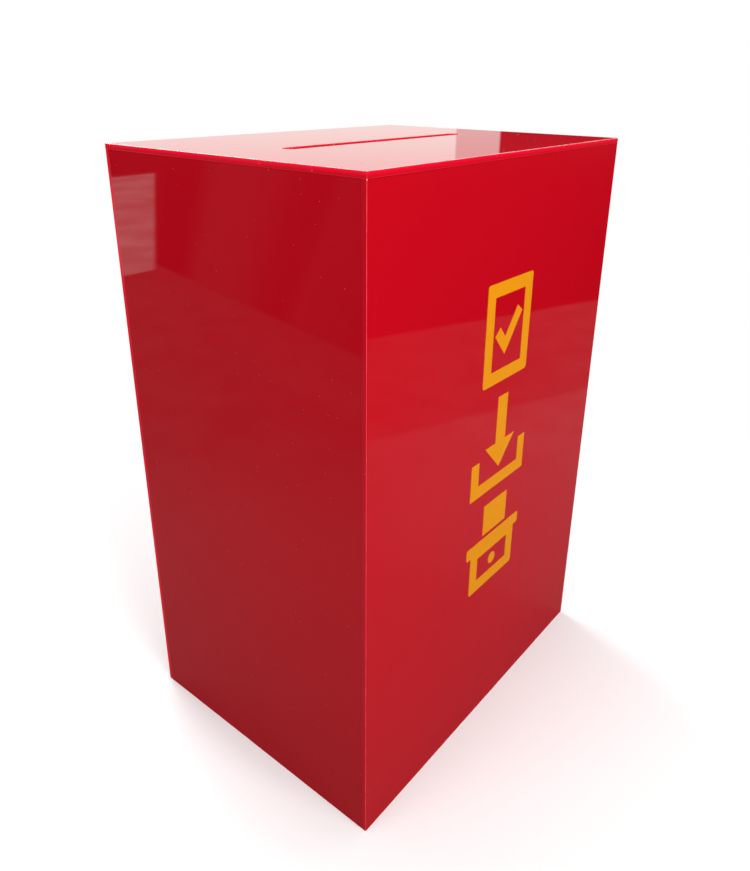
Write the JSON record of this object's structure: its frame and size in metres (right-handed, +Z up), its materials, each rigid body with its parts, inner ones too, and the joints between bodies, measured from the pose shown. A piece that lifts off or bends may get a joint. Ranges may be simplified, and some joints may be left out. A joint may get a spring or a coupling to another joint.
{
  "type": "ballot box",
  "caption": "Upright acrylic ballot box with a round-ended slot in its lid, vinyl pictograms on the front and a hinged, locking rear door.",
  "frame": {"origin": "centre of the underside of the bottom panel, on the surface the box stands on", "axes": "+X across the front towards its right side as a voter sees it, +Y from the front to the back, +Z up; the pictograms face -Y and the door and lock face +Y"},
  "size_m": [0.4, 0.3312, 0.6],
  "materials": {
    "red_acrylic": "polished cast acrylic sheet",
    "yellow_vinyl": "cut adhesive vinyl film",
    "hinge_steel": "brushed stainless sheet",
    "screw_steel": "bright zinc-plated steel",
    "lock_chrome": "bright chrome-plated die casting",
    "plug_brass": "nickel-plated brass",
    "cam_steel": "zinc-plated pressed steel",
    "key_nickel": "nickel-plated stamped key"
  },
  "bodies": {
    "case": {"front_panel": "red_acrylic", "back_panel": "red_acrylic", "left_side_panel": "red_acrylic", "right_side_panel": "red_acrylic", "top_panel": "red_acrylic", "bottom_panel": "red_acrylic", "door_stop_upper": "red_acrylic", "door_stop_lower": "red_acrylic", "door_stop_latch": "red_acrylic", "lower_hinge_fixed_leaf": "hinge_steel", "upper_hinge_fixed_leaf": "hinge_steel", "lower_hinge_pin": "screw_steel", "upper_hinge_pin": "screw_steel", "fixed_leaf_screws": "screw_steel", "fixed_leaf_nuts": "screw_steel", "front_mark_ballot": "yellow_vinyl", "front_mark_arrow": "yellow_vinyl", "front_mark_box": "yellow_vinyl"},
    "door": {"rear_door": "red_acrylic", "lower_hinge_door_leaf": "hinge_steel", "upper_hinge_door_leaf": "hinge_steel", "door_leaf_screws": "screw_steel", "door_leaf_nuts": "screw_steel", "lock_housing": "lock_chrome", "lock_nut": "lock_chrome"},
    "lock": {"lock_plug": "plug_brass", "lock_wafers": "plug_brass", "stop_washer": "cam_steel", "lock_cam": "cam_steel", "cam_screw": "screw_steel"},
    "key": {"key": "key_nickel"}
  },
  "joints": [
    {"name": "door_hinge", "type": "hinge", "parent": "case", "child": "door", "pos_m": [-0.1195, 0.1529, 0.135], "axis": [0, 0, 1], "range_deg": [0, 150]},
    {"name": "lock_turn", "type": "hinge", "parent": "door", "child": "lock", "pos_m": [0.0953, 0.15, 0.135], "axis": [0, -1, 0], "range_deg": [0, 90]},
    {"name": "key_slide", "type": "slide", "parent": "lock", "child": "key", "axis": [0, 1, 0], "range_m": [0, 0.02]}
  ]
}
